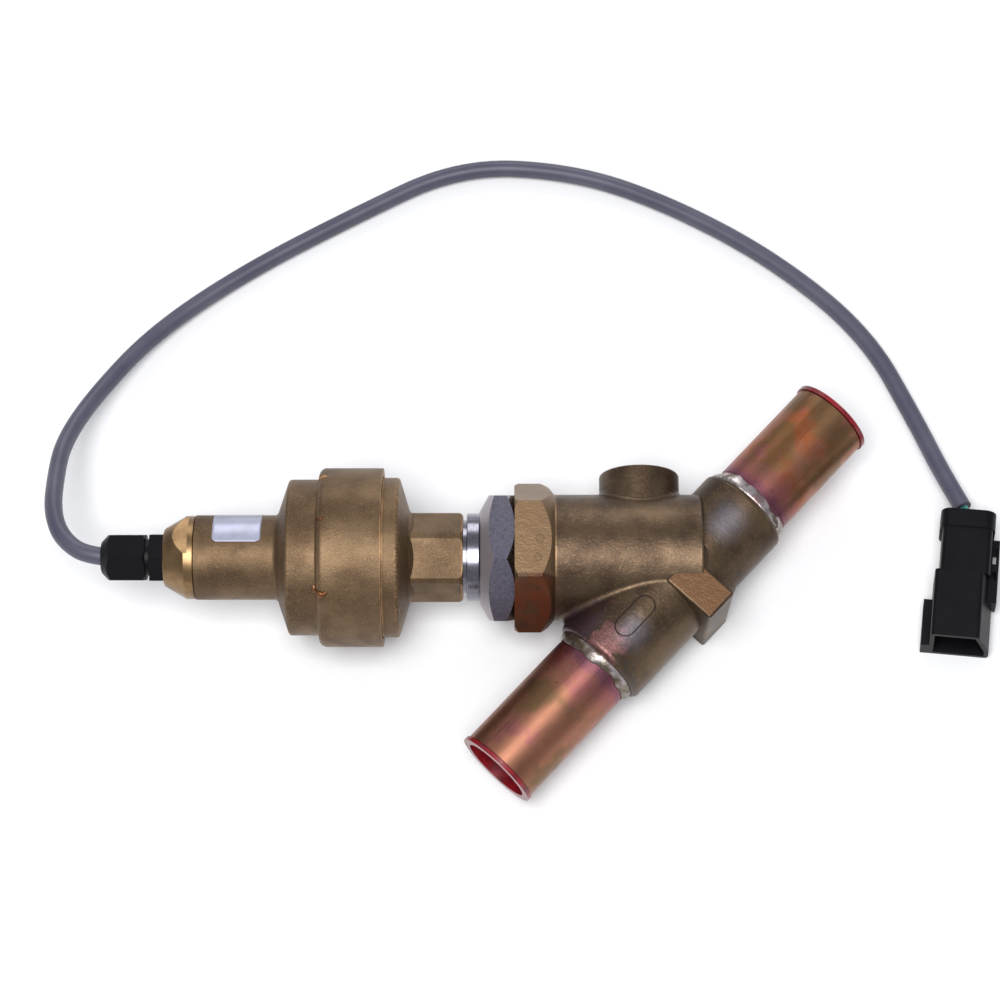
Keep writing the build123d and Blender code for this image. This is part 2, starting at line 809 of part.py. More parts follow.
def resting_plane():
    # The valve lies on the band's sharp edge, the rounded end of the barrel, and whichever of the
    # inlet plug's rim and the raised block's corners touches first as it rolls to the inlet side
    reach = barrel_past_crossing - barrel_edge_round - joint_face
    drop = band_radius - barrel_radius + barrel_edge_round
    pitch = acos(barrel_edge_round / hypot(drop, reach)) - atan2(reach, drop)
    height = ((barrel_radius - barrel_edge_round) * cos(pitch)
              + (barrel_past_crossing - barrel_edge_round) * sin(pitch) + barrel_edge_round)
    turn = radians(tube_angle)
    rim = inlet_reach + plug_flange
    tilt = asin(height / hypot(rim, plug_flange_radius)) - atan2(plug_flange_radius, rim)
    rolls = [asin((sin(tilt) + cos(turn) * sin(pitch)) / (sin(turn) * cos(pitch)))]
    low = block_half_height - block_edge_round
    side = block_side - block_edge_round
    for back in (block_start + block_edge_round, block_end - block_edge_round):
        place = -back * cos(turn) + side * sin(turn)
        out = back * sin(turn) + side * cos(turn)
        level = (height - block_edge_round - place * sin(pitch)) / cos(pitch)
        if hypot(out, low) > level:
            rolls.append(atan2(out, low) - acos(level / hypot(out, low)))
    roll = min(rolls)
    up = Vector(-sin(pitch), cos(pitch) * sin(roll), cos(pitch) * cos(roll))
    tube_line = Vector(cos(turn), sin(turn), 0)
    along = (tube_line - up * tube_line.dot(up)).normalized()
    side = up.cross(along)
    return Plane(origin=(0, 0, height), x_dir=(along.X, side.X, up.X), z_dir=(along.Z, side.Z, up.Z))


def laid_down(shapes):
    # The valve's pieces as they lie on the table, centred over the origin
    table = resting_plane()
    laid = {name: table * shape for name, shape in shapes.items()}
    boxes = [shape.bounding_box() for shape in laid.values()]
    across = (min(b.min.X for b in boxes) + max(b.max.X for b in boxes)) / 2
    along = (min(b.min.Y for b in boxes) + max(b.max.Y for b in boxes)) / 2
    print("crossing lies at", [round(c, 3) for c in (-across, -along, table.origin.Z)])
    print("lowest", round(min(b.min.Z for b in boxes), 4))
    return {name: Pos(-across, -along, 0) * shape for name, shape in laid.items()}


def valve_pieces():
    return {
        "valve_body": valve_body(),
        "seat_ring": seat_ring(),
        "guide_cage": guide_cage(),
        "piston": piston(),
        "seat_seal": seat_seal(),
        "screw_nut": screw_nut(),
        "bonnet": bonnet(),
        "bonnet_o_ring": sealing_ring(bonnet_ring_start, bonnet_spigot_radius - ring_section),
        "front_housing": front_housing(),
        "rear_housing": rear_housing(),
        "housing_o_ring": sealing_ring(joint_face - ring_section, cavity_radius + ring_section),
        "stator_front_cup": stator_cup(stator_front - cup_length, -1),
        "stator_rear_cup": stator_cup(stator_rear, 1),
        "bobbin_front": bobbin(stator_front - cup_length, -1),
        "bobbin_rear": bobbin(stator_rear, 1),
        "coil_front": coil(stator_front - cup_length, -1),
        "coil_rear": coil(stator_rear, 1),
        "rotor_can": rotor_can(),
        "rear_bush": rear_bush(),
        "rotor_magnet": rotor_magnet(),
        "rotor_hub": rotor_hub(),
        "lead_screw": lead_screw(),
        "bearing_outer_ring": bearing_ring_outer(),
        "bearing_balls": bearing_balls(),
        "bearing_inner_ring": bearing_ring_inner(),
        "end_cap": end_cap(),
        "end_cap_o_ring": sealing_ring(cap_ring_start, neck_bore - ring_section),
        "gland_body": gland_body(),
        "gland_nut": gland_nut(),
        "gland_seal": gland_seal(),
        "terminal_board": terminal_board(),
        "winding_leads": winding_leads(),
        "cable_cores": cable_cores(),
        "inlet_tube": towards_inlet(stub(inlet_reach, inlet_branch_length, inlet_socket_depth)),
        "outlet_tube": towards_outlet(stub(outlet_reach, outlet_branch_length, outlet_socket_depth)),
        "inlet_braze": towards_inlet(braze(inlet_branch_length, inlet_branch_radius)),
        "outlet_braze": towards_outlet(braze(outlet_branch_length, outlet_branch_radius)),
        "inlet_cap": towards_inlet(plug(inlet_reach)),
        "outlet_cap": towards_outlet(plug(outlet_reach)),
    }


def arc_radii(route):
    # Each bend is as large as its two runs allow
    points = [Vector(*p) for p in route]
    radii = []
    for before, here, after in zip(points, points[1:], points[2:]):
        turn = radians((here - before).get_angle(after - here))
        radii.append(arc_share * min((here - before).length, (after - here).length) / tan(turn / 2))
    return radii


def cable_sheath():
    # Straight runs joined by tangent arcs, swept with the cable's round section
    radii = arc_radii(cable_route)
    path = FilletPolyline(*cable_route, radius=radii)
    first, second = Vector(*cable_route[0]), Vector(*cable_route[1])
    section = Plane(origin=first, z_dir=second - first) * Circle(cable_radius)
    sheath = sweep(section, path=path)
    print("bend radii", [round(r, 1) for r in radii], "length", round(path.length, 1))
    print("sheath volume over section times length",
          round(sheath.volume / (section.area * path.length), 4))
    return sheath


def strand(start, end, radius):
    return Plane(origin=start, z_dir=end - start) * extrude(Circle(radius), (end - start).length)


def core_wires():
    # Coloured cores from the cut sheath to the connector's rear seal
    end, before = Vector(*cable_route[-1]), Vector(*cable_route[-2])
    cut = Plane(origin=end, z_dir=end - before)
    lying = connector_plane()
    wires = []
    for (across, up), turn in zip(core_places(), core_turns):
        start = cut.from_local_coords(Vector(
            core_spread * cos(radians(turn)), core_spread * sin(radians(turn)), wire_gap))
        stop = lying.from_local_coords(Vector(
            seal_recess - wire_gap, core_gather * across,
            shroud_height / 2 + core_gather * (up - shroud_height / 2)))
        wires.append(strand(start, stop, core_radius))
    return Compound(wires)


def connector_plane():
    turn = radians(connector_turn)
    return Plane(origin=(*connector_place, 0), x_dir=(cos(turn), sin(turn), 0), z_dir=(0, 0, 1))


def connector_pieces():
    lying = connector_plane()
    return {name: lying * shape for name, shape in {
        "connector_shell": connector_shell(),
        "connector_seal": connector_seal(),
        "connector_pins": connector_pins(),
        "connector_wedge": connector_wedge(),
    }.items()}


def cord_pieces():
    return {"cable_sheath": cable_sheath(), "core_wires": core_wires(), **connector_pieces()}


pieces = {**laid_down(valve_pieces()), **cord_pieces()}

if __name__ == "__main__":
    os.makedirs("parts", exist_ok=True)
    for name, piece in pieces.items():
        export_step(piece, f"parts/{name}.step")
        print(name, len(piece.solids()), round(piece.volume))
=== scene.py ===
import bpy
import numpy as np
from math import cos, radians, sin
from mathutils import Matrix, Vector


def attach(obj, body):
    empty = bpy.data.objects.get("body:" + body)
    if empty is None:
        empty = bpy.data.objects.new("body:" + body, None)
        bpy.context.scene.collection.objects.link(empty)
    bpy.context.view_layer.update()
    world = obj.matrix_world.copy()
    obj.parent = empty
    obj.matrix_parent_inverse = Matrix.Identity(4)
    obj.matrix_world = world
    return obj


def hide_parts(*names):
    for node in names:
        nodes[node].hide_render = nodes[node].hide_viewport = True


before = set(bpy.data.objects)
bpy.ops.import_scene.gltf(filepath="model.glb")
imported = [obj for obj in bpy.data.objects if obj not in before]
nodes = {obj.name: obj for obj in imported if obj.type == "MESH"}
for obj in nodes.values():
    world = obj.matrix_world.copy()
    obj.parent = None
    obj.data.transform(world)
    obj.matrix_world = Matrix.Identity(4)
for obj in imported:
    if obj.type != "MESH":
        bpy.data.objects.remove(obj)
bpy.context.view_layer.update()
print("frame loaded with", len(nodes), "nodes")

# The valve's own axes as it lies on the table: along runs away from the motor, boss points to the
# round boss, up is square to both, and the two tubes' line crosses the long axis at the origin
valveLie = {
    "along": Vector((0.684511, -0.724120, -0.084232)),
    "boss": Vector((0.728517, 0.675253, 0.115310)),
    "up": Vector((-0.026621, -0.140296, 0.989752)),
    "origin": Vector((0.0371671, -0.0654060, 0.0216671)),
    "tubeAngle": 47.0,
}
connectorLie = {"place": (0.1143, -0.1227, 0.0), "turn": 216.0}


def axesMatrix(x, y, z, origin):
    # from a local frame to the table's frame
    return Matrix.Translation(origin) @ Matrix((x, y, z)).transposed().to_4x4()


def makeFrames(lie, connector):
    turn = radians(lie["tubeAngle"])
    tubeLine = cos(turn) * lie["along"] + sin(turn) * lie["boss"]
    turnedBy = radians(connector["turn"])
    x = Vector((cos(turnedBy), sin(turnedBy), 0))
    up = Vector((0, 0, 1))
    return {
        "valve": axesMatrix(lie["along"], lie["boss"], lie["up"], lie["origin"]),
        "tube": axesMatrix(tubeLine, lie["up"].cross(tubeLine), lie["up"], lie["origin"]),
        "connector": axesMatrix(x, up.cross(x), up, Vector(connector["place"])),
    }


frames = makeFrames(valveLie, connectorLie)

cameraView = {
    "eye": (-0.2386816, -0.3380321, 0.9378575),
    "right": Vector((0.684511, -0.724120, -0.084232)),
    "up": Vector((0.686794, 0.601813, 0.407598)),
    "back": Vector((-0.244458, -0.336855, 0.909268)),
    "lens": 103.14,
}


def makeCamera(view):
    data = bpy.data.cameras.new("photoCamera")
    data.lens = view["lens"]
    data.sensor_width = 36
    data.clip_start = 0.01
    camera = bpy.data.objects.new("photoCamera", data)
    camera.matrix_world = axesMatrix(view["right"], view["up"], view["back"], Vector(view["eye"]))
    bpy.context.scene.collection.objects.link(camera)
    bpy.context.scene.camera = camera
    return camera


makeCamera(cameraView)
print("camera made")

# The cable leaves the gland, drops to the table and runs round to the connector
cable = {
    "diameter": 0.0063,
    "length": 0.518,
    "route": [
        (-0.098640, 0.078260, 0.038379), (-0.107196, 0.087312, 0.039432), (-0.1087, 0.0999, 0.0388),
        (-0.1033, 0.1120, 0.0348), (-0.0933, 0.1236, 0.0282), (-0.0796, 0.1367, 0.0201),
        (-0.0574, 0.1459, 0.0118), (-0.0230, 0.1516, 0.0049), (0.0175, 0.1448, 0.0032),
        (0.0595, 0.1312, 0.0032), (0.1033, 0.1151, 0.0032), (0.1298, 0.0801, 0.0032),
        (0.1427, 0.0432, 0.0032), (0.1502, -0.0008, 0.0032), (0.1490, -0.0467, 0.0032),
        (0.1331, -0.0842, 0.0033), (0.1232, -0.1034, 0.0060), (0.1165, -0.1186, 0.0086)],
    "connectorPieces": ["connector_shell", "connector_seal", "connector_pins", "connector_wedge", "core_wires"],
}


def makeCable(settings):
    # one smooth spline through the route, with a round section and closed ends; the section is a unit
    # circle scaled by each point's radius, so that the curve's bounding box stays close to the cable
    curve = bpy.data.curves.new("greyCable", "CURVE")
    curve.dimensions = "3D"
    curve.resolution_u = 12
    curve.bevel_depth = 1.0
    curve.bevel_resolution = 6
    curve.use_fill_caps = True
    spline = curve.splines.new("NURBS")
    spline.points.add(len(settings["route"]) - 1)
    for point, place in zip(spline.points, settings["route"]):
        point.co = (*place, 1)
        point.radius = settings["diameter"] / 2
    spline.order_u = 3
    spline.use_endpoint_u = True
    piece = bpy.data.objects.new("greyCable", curve)
    bpy.context.scene.collection.objects.link(piece)
    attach(piece, "root")
    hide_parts("cable_sheath")
    return piece


greyCable = makeCable(cable)
print("cable laid")


def colour(text):
    # a screen colour such as "b08a62" in the linear values that shaders use
    values = np.array([int(text[i:i + 2], 16) for i in (0, 2, 4)]) / 255
    linear = np.where(values < 0.04045, values / 12.92, ((values + 0.055) / 1.055) ** 2.4)
    return (*linear.tolist(), 1.0)


class Recipe:
    # a material under construction, with short names for the nodes that the finishes share
    def __init__(self, name):
        self.material = bpy.data.materials.new(name)
        self.material.use_nodes = True
        self.tree = self.material.node_tree
        self.shader = self.tree.nodes["Principled BSDF"]

    def node(self, kind, inputs, output, **settings):
        made = self.tree.nodes.new("ShaderNode" + kind)
        for key, value in settings.items():
            setattr(made, key, value)
        for key, value in inputs.items():
            self.feed(made.inputs[key], value)
        return made.outputs[output]

    def feed(self, socket, value):
        if isinstance(value, bpy.types.NodeSocket):
            self.tree.links.new(value, socket)
        else:
            socket.default_value = value

    def finish(self, **inputs):
        for key, value in inputs.items():
            self.feed(self.shader.inputs[key.replace("_", " ")], value)
        return self.material

    def coords(self, space=None, stretch=(1, 1, 1)):
        # object coordinates, turned into one of the part's own frames
        place = self.node("TexCoord", {}, "Object")
        if space is None:
            return place
        inverse = frames[space].inverted()
        turned = self.node("Mapping", {
            "Vector": place, "Location": inverse.to_translation(),
            "Rotation": Vector(inverse.to_euler("XYZ"))}, "Vector")
        if stretch == (1, 1, 1):
            return turned
        return self.node("Mapping", {"Vector": turned, "Scale": stretch}, "Vector")

    def axes(self, coords):
        parts = self.tree.nodes.new("ShaderNodeSeparateXYZ")
        self.feed(parts.inputs[0], coords)
        return parts.outputs["X"], parts.outputs["Y"], parts.outputs["Z"]

    def noise(self, coords, size, detail=3.0, roughness=0.55, distortion=0.0):
        return self.node("TexNoise", {
            "Vector": coords, "Scale": 1 / size, "Detail": detail, "Roughness": roughness,
            "Distortion": distortion}, "Fac")

    def cells(self, coords, size, feature="F1"):
        return self.node("TexVoronoi", {"Vector": coords, "Scale": 1 / size}, "Distance", feature=feature)

    def maths(self, operation, a, b=0.0, clamp=False):
        return self.node("Math", {0: a, 1: b}, 0, operation=operation, use_clamp=clamp)

    def step(self, value, start, end):
        # 0 before start, 1 after end, smooth between; start may be the larger one
        return self.node("MapRange", {"Value": value, "From Min": start, "From Max": end}, 0,
                         interpolation_type="SMOOTHSTEP")

    def between(self, value, low, high, soft):
        # 1 between two values, fading over soft on each side
        return self.maths("MULTIPLY", self.step(value, low - soft, low + soft),
                          self.step(value, high + soft, high - soft))

    def near(self, coords, place, reach, soft):
        # 1 at a place, fading to 0 at reach plus soft
        distance = self.node("VectorMath", {0: coords, 1: place}, "Value", operation="DISTANCE")
        return self.step(distance, reach + soft, reach - soft)

    def facing(self, direction):
        # how far the surface looks along a direction: 1 straight along it, -1 straight away
        return self.node("VectorMath", {0: self.node("NewGeometry", {}, "Normal"), 1: direction}, "Value",
                         operation="DOT_PRODUCT")

    def mix(self, share, a, b):
        made = self.tree.nodes.new("ShaderNodeMix")
        made.data_type = "RGBA"
        self.feed(made.inputs[0], share)
        self.feed(made.inputs[6], a)
        self.feed(made.inputs[7], b)
        return made.outputs[2]

    def blendValue(self, share, a, b):
        return self.node("MapRange", {"Value": share, "To Min": a, "To Max": b}, 0)

    def bump(self, height, depth, below=None):
        inputs = {"Height": height, "Distance": depth, "Strength": 1.0}
        if below is not None:
            inputs["Normal"] = below
        return self.node("Bump", inputs, "Normal")


def dress(material, *names):
    for name in names:
        piece = nodes.get(name) or bpy.data.objects[name]
        piece.data.materials.clear()
        piece.data.materials.append(material)
        if piece.type == "MESH":
            piece.data.polygons.foreach_set("material_index", [0] * len(piece.data.polygons))


# Sand-cast bronze of the two motor shells: golden brown grains with painted glints, darker patches, painted shade in
# the lowest grains, and painted highlights along the edges, worn and sandy on some
motorCasting = {
    "golden": colour("735e46"),
    "brown": colour("574532"),
    "copperGlint": colour("9b7652"),
    "grainShare": 0.45,
    "patch": 0.016,
    "grain": 0.00042,
    "grainDepth": 0.00016,
    "lumpDepth": 0.00025,
    "highlightLips": [(-0.1087, 0.00035, 0.9), (-0.0816, 0.0003, 0.5)],
    "sandyEdges": [(-0.1033, 0.0009, 0.8), (-0.1302, 0.0006, 0.35), (-0.1408, 0.0006, 0.3)],
}


def castBronze(settings):
    r = Recipe("castBronze")
    place = r.coords("valve")
    along, _, _ = r.axes(place)
    grains = r.noise(place, settings["grain"], 2.0, 0.6)
    lumps = r.noise(place, settings["grain"] * 4, 3.0)
    patches = r.noise(place, settings["patch"], 4.0, 0.6)
    skin = r.mix(r.step(patches, 0.35, 0.7), settings["golden"], settings["brown"])
    # bright grains are painted glints
    skin = r.mix(r.maths("MULTIPLY", r.step(grains, 0.52, 0.72), settings["grainShare"]), skin, settings["copperGlint"])
    # the lowest grains, where the bump sinks, are painted dark as painted shade
    skin = r.mix(r.maths("MULTIPLY", r.step(grains, 0.46, 0.3), 0.3), skin, colour("3a2c20"))
    # painted highlights along the edges: thin bright lines on the two lips, and speckled ones where the edges are sandy
    # and worn
    edgeHighlightAndWear = 0.0
    for station, width, share in settings["highlightLips"]:
        line = r.between(along, station - width, station + width, 0.0002)
        edgeHighlightAndWear = r.maths("ADD", edgeHighlightAndWear, r.maths("MULTIPLY", line, share), True)
    sand = r.step(r.noise(place, 0.0007, 3.0, 0.7), 0.45, 0.65)
    for station, width, share in settings["sandyEdges"]:
        line = r.maths("MULTIPLY", r.between(along, station - width, station + width, 0.0006), sand)
        edgeHighlightAndWear = r.maths("ADD", edgeHighlightAndWear, r.maths("MULTIPLY", line, share), True)
    edgeHighlightAndWear = r.maths("MULTIPLY", edgeHighlightAndWear, r.blendValue(r.step(r.noise(place, 0.009, 3.0), 0.4, 0.6), 0.25, 0.8))
    skin = r.mix(edgeHighlightAndWear, skin, colour("c39a70"))
    height = r.maths("ADD", r.maths("MULTIPLY", grains, 0.6), r.maths("MULTIPLY", lumps, 0.4))
    rough = r.blendValue(patches, 0.40, 0.62)
    normal = r.bump(height, settings["grainDepth"], r.bump(patches, settings["lumpDepth"]))
    return r.finish(Base_Color=skin, Metallic=0.78, Roughness=rough, Normal=normal)


dress(castBronze(motorCasting), "front_housing", "rear_housing")

# The valve body's darker casting, with a reddish collar flat and heat stains beside the braze
bodyCasting = {
    "olive": colour("64523f"),
    "brown": colour("453629"),
    "collarRedBrown": colour("7e4127"),
    "sand": colour("735339"),
    "plum": colour("4a3740"),
    "rose": colour("8c6060"),
    "bluishHighlight": colour("85858f"),
    "tablet": {"start": -0.0392, "end": -0.0293, "middle": -0.0007, "half": 0.0035, "line": 0.00022},
    "castMarks": [((-0.0557, -0.0066, 0.0236), 0.0013), ((-0.0550, 0.0001, 0.0236), 0.0014)],
    "patch": 0.02,
    "grain": 0.0009,
    "grainDepth": 0.00007,
}


def castBody(settings):
    r = Recipe("castBody")
    place = r.coords("valve")
    along, boss, up = r.axes(place)
    tubePlace = r.coords("tube")
    s, q, n = r.axes(tubePlace)
    grains = r.noise(place, settings["grain"], 2.0, 0.6)
    patches = r.noise(place, settings["patch"], 4.0, 0.6)
    ragged = r.noise(place, 0.006, 4.0, 0.65)
    skin = r.mix(r.step(patches, 0.35, 0.65), settings["olive"], settings["brown"])
    # bright grains are painted glints
    skin = r.mix(r.maths("MULTIPLY", r.step(grains, 0.55, 0.72), 0.3), skin, colour("8d7055"))
    # the side of the collar away from the boss is painted red brown in patches
    redSide = r.maths("MULTIPLY", r.step(boss, -0.011, -0.015), r.step(along, -0.048, -0.052))
    tint = r.blendValue(r.step(r.noise(place, 0.007, 4.0, 0.6), 0.38, 0.62), 0.2, 0.75)
    skin = r.mix(r.maths("MULTIPLY", redSide, tint), skin, settings["collarRedBrown"])
    # heat colours on the inlet branch, from dark plum to rose, with a ragged border
    wandering = r.maths("ADD", s, r.maths("MULTIPLY", r.maths("SUBTRACT", ragged, 0.5), 0.03))
    fromTube = r.maths("SQRT", r.maths("ADD", r.maths("MULTIPLY", q, q), r.maths("MULTIPLY", n, n)))
    heated = r.maths("MULTIPLY", r.step(wandering, -0.036, -0.044), r.step(fromTube, 0.0200, 0.0180))
    across = r.maths("ADD", q, r.maths("MULTIPLY", r.maths("SUBTRACT", ragged, 0.5), 0.016))
    plumSide = r.maths("MULTIPLY", heated, r.step(across, 0.005, 0.009))
    dust = r.blendValue(r.step(r.noise(place, 0.0008, 3.0, 0.7), 0.4, 0.6), 0.4, 1.0)
    roseSide = r.maths("MULTIPLY", r.maths("MULTIPLY", heated, dust), r.between(across, -0.006, 0.006, 0.001))
    skin = r.mix(r.maths("MULTIPLY", plumSide, 0.85), skin, settings["plum"])
    skin = r.mix(r.maths("MULTIPLY", roseSide, 0.8), skin, settings["rose"])
    rim = r.maths("MULTIPLY", r.maths("MULTIPLY", r.step(wandering, -0.048, -0.050), heated),
                  r.step(across, -0.006, -0.011))
    skin = r.mix(r.maths("MULTIPLY", rim, 0.6), skin, colour("4a4644"))
    # painted bluish highlight along the top of both branches, where they look up
    sheen = r.maths("MULTIPLY", r.between(s, -0.044, -0.034, 0.004), r.between(q, -0.008, 0.0, 0.004))
    sheen = r.maths("ADD", sheen, r.maths("MULTIPLY", r.between(s, 0.006, 0.018, 0.004),
                                          r.between(q, -0.006, 0.004, 0.004)), True)
    skin = r.mix(r.maths("MULTIPLY", sheen, 0.45), skin, settings["bluishHighlight"])
    # the raised block's flat top is painted a lighter sandy tan: a sandy face, made lighter as painted light where it
    # looks up
    level = r.step(r.facing(valveLie["up"]), 0.988, 0.998)
    blockTop = r.maths("MULTIPLY", r.between(s, -0.0183, -0.0055, 0.0003),
                       r.maths("MULTIPLY", level, r.between(n, 0.0183, 0.0190, 0.0002)))
    skin = r.mix(r.maths("MULTIPLY", blockTop, 0.8), skin, settings["sand"])
    # two flats of the collar that face up are painted lighter gold: painted light
    collar = r.step(along, -0.0490, -0.0496)
    facing = r.maths("MULTIPLY", collar, r.step(boss, -0.0125, -0.0117))
    skin = r.mix(r.maths("MULTIPLY", facing, 0.65), skin, colour("8f7355"))
    # two round marks left by the mould
    for spot, size in settings["castMarks"]:
        distance = r.node("VectorMath", {0: place, 1: spot}, "Value", operation="DISTANCE")
        ring = r.between(distance, size - 0.0002, size + 0.0002, 0.0002)
        skin = r.mix(r.maths("MULTIPLY", ring, 0.5), skin, colour("4a3a29"))
        skin = r.mix(r.maths("MULTIPLY", r.step(distance, size, size - 0.0004), 0.45), skin, colour("6d5c45"))
    # thin groove round the blank cast tablet: distance to a short line along the branch
    tablet = settings["tablet"]
    beyond = r.maths("MAXIMUM", r.maths("SUBTRACT", tablet["start"], s), r.maths("SUBTRACT", s, tablet["end"]))
    beyond = r.maths("MAXIMUM", beyond, 0.0)
    aside = r.maths("SUBTRACT", q, tablet["middle"])
    reach = r.maths("SQRT", r.maths("ADD", r.maths("MULTIPLY", beyond, beyond), r.maths("MULTIPLY", aside, aside)))
    groove = r.maths("MULTIPLY", r.between(reach, tablet["half"] - tablet["line"], tablet["half"] + tablet["line"], 0.0001),
                     r.step(n, 0.0150, 0.0155))
    # the groove is painted dark: painted shade in the groove
    skin = r.mix(r.maths("MULTIPLY", groove, 0.8), skin, colour("2a211c"))
    height = r.maths("ADD", grains, r.maths("MULTIPLY", r.noise(place, 0.003, 3.0), 1.5))
    height = r.maths("SUBTRACT", height, r.maths("MULTIPLY", groove, 2.0))
    rough = r.blendValue(patches, 0.34, 0.5)
    return r.finish(Base_Color=skin, Metallic=0.8, Roughness=rough, Normal=r.bump(height, settings["grainDepth"]))


dress(castBody(bodyCasting), "valve_body")
print("castings dressed")

# Bright turned steel of the bonnet, with milled hexagon flats
brightSteel = {"steel": colour("85838d"), "shade": colour("75727b"), "milled": colour("83808d"), "milledShade": colour("6d6a76"), "line": 0.00018, "depth": 0.000012,
               "coneStart": -0.0752, "coneGrey": colour("b4acb0")}


def turnedSteel(settings):
    r = Recipe("turnedSteel")
    place = r.coords("valve")
    along, _, _ = r.axes(place)
    lines = r.noise(r.coords("valve", (1, 0.02, 0.02)), settings["line"], 2.0)
    marks = r.noise(place, 0.0011, 3.0, 0.65)
    # the hexagon's flats look square to the long axis, and the cone beside them looks back to the motor
    back = r.facing(valveLie["along"])
    hexagon = r.step(along, settings["coneStart"] - 0.0002, settings["coneStart"])
    milled = r.maths("MULTIPLY", hexagon, r.between(back, -0.08, 0.08, 0.05))
    skin = r.mix(r.step(marks, 0.35, 0.7), settings["steel"], settings["shade"])
    skin = r.mix(milled, skin, r.mix(r.step(marks, 0.3, 0.75), settings["milled"], settings["milledShade"]))
    height = r.mix(milled, lines, marks)
    normal = r.bump(height, settings["depth"])
    cone = r.maths("MULTIPLY", hexagon, r.step(back, -0.1, -0.2))
    skin = r.mix(r.maths("MULTIPLY", cone, 0.8), skin, settings["coneGrey"])
    rough = r.maths("ADD", r.blendValue(milled, 0.22, 0.36), r.maths("MULTIPLY", cone, 0.24))
    return r.finish(Base_Color=skin, Metallic=r.blendValue(cone, 1.0, 0.75), Roughness=rough, Normal=normal)


dress(turnedSteel(brightSteel), "bonnet")

# Golden turned brass of the end cap
capBrass = {"gold": colour("937755"), "shade": colour("705941"), "line": 0.00022, "depth": 0.000014}


def turnedBrass(settings):
    r = Recipe("turnedBrass")
    lines = r.noise(r.coords("valve", (1, 0.03, 0.03)), settings["line"], 2.0)
    tarnish = r.noise(r.coords("valve"), 0.008, 4.0, 0.6)
    skin = r.mix(r.step(tarnish, 0.35, 0.75), settings["gold"], settings["shade"])
    rough = r.blendValue(tarnish, 0.3, 0.42)
    return r.finish(Base_Color=skin, Metallic=1.0, Roughness=rough, Normal=r.bump(lines, settings["depth"]))


dress(turnedBrass(capBrass), "end_cap")

# Copper stubs: heat colours by the braze, drawn streaks along the tube and small dark specks
copperStub = {
    "copper": colour("9a6a55"),
    "orange": colour("9a5732"),
    "rose": colour("94585c"),
    "olive": colour("6c5a3c"),
    "violet": colour("6e465e"),
    "dark": colour("40241e"),
    "streak": 0.0012,
    "speck": 0.0032,
    "depth": 0.00002,
}


def stubCopper(name, settings, brazeEnd, openEnd, warm):
    # distance runs from the braze to the open end, whichever way the stub points
    r = Recipe(name)
    place = r.coords("tube")
    s, q, n = r.axes(place)
    length = abs(openEnd - brazeEnd)
    run = r.node("MapRange", {"Value": s, "From Min": brazeEnd, "From Max": openEnd}, 0)
    cloud = r.noise(place, 0.012, 4.0, 0.6)
    ragged = r.noise(place, 0.005, 4.0, 0.65)
    streaks = r.noise(r.coords("tube", (0.06, 1, 1)), settings["streak"], 3.0)
    skin = r.mix(r.step(cloud, 0.35, 0.65), settings["copper"], settings[warm])
    skin = r.mix(r.maths("MULTIPLY", r.step(r.noise(place, 0.02, 3.0), 0.5, 0.62), 0.7), skin, settings["olive"])
    skin = r.mix(r.maths("MULTIPLY", r.step(cloud, 0.58, 0.7), 0.6), skin, settings["rose"])
    wandering = r.maths("ADD", run, r.maths("MULTIPLY", r.maths("SUBTRACT", ragged, 0.5), 0.25))
    skin = r.mix(r.maths("MULTIPLY", r.step(wandering, 0.30, 0.12), 0.6), skin, settings["rose"])
    skin = r.mix(r.maths("MULTIPLY", r.step(wandering, 0.12, 0.04), 0.6), skin, settings["violet"])
    skin = r.mix(r.maths("MULTIPLY", r.step(streaks, 0.55, 0.75), 0.3), skin, settings["dark"])
    near = r.cells(place, settings["speck"])
    rare = r.step(r.noise(place, 0.009, 2.0), 0.52, 0.6)
    specks = r.maths("MULTIPLY", r.step(near, 0.13, 0.07), rare)
    skin = r.mix(r.maths("MULTIPLY", specks, 0.85), skin, colour("33201c"))
    rough = r.blendValue(ragged, 0.28, 0.52)
    height = r.maths("SUBTRACT", streaks, specks)
    return r.finish(Base_Color=skin, Metallic=1.0, Roughness=rough, Normal=r.bump(height, settings["depth"]))


dress(stubCopper("inletCopper", copperStub, -0.0545, -0.101, "copper"), "inlet_tube")
dress(stubCopper("outletCopper", copperStub, 0.0275, 0.0692, "orange"), "outlet_tube")
print("copper dressed")

# Red plugs in the stubs' ends: thick soft plastic that glows a little
plugPlastic = {"red": colour("84101c"), "deep": colour("560710"), "grain": 0.0006, "depth": 0.000015}


def redPlastic(settings):
    r = Recipe("redPlastic")
    place = r.coords("tube")
    clouds = r.noise(place, 0.006, 3.0)
    skin = r.mix(r.step(clouds, 0.35, 0.7), settings["red"], settings["deep"])
    return r.finish(Base_Color=skin, Roughness=0.33, Subsurface_Weight=0.15, Subsurface_Scale=0.001,
                    Coat_Weight=0.2, Normal=r.bump(r.noise(place, settings["grain"], 2.0), settings["depth"]))


dress(redPlastic(plugPlastic), "inlet_cap", "outlet_cap")


def mouldedPlastic(name, space, base, rough, grain=0.0004, depth=0.00001, dark=False):
    # fine moulded grain with slightly uneven gloss
    r = Recipe(name)
    place = r.coords(space)
    cloud = r.noise(place, 0.007, 3.0)
    other = np.array(colour(base)) * 0.7 + np.array(colour("0e0e12" if dark else "2b2b30")) * 0.3
    skin = r.mix(r.step(cloud, 0.3, 0.75), colour(base), tuple(other.tolist()))
    r.shader.inputs["Specular IOR Level"].default_value = 0.18 if dark else 0.5
    return r.finish(Base_Color=skin, Roughness=r.blendValue(cloud, rough - 0.05, rough + 0.08),
                    Normal=r.bump(r.noise(place, grain, 2.0), depth))


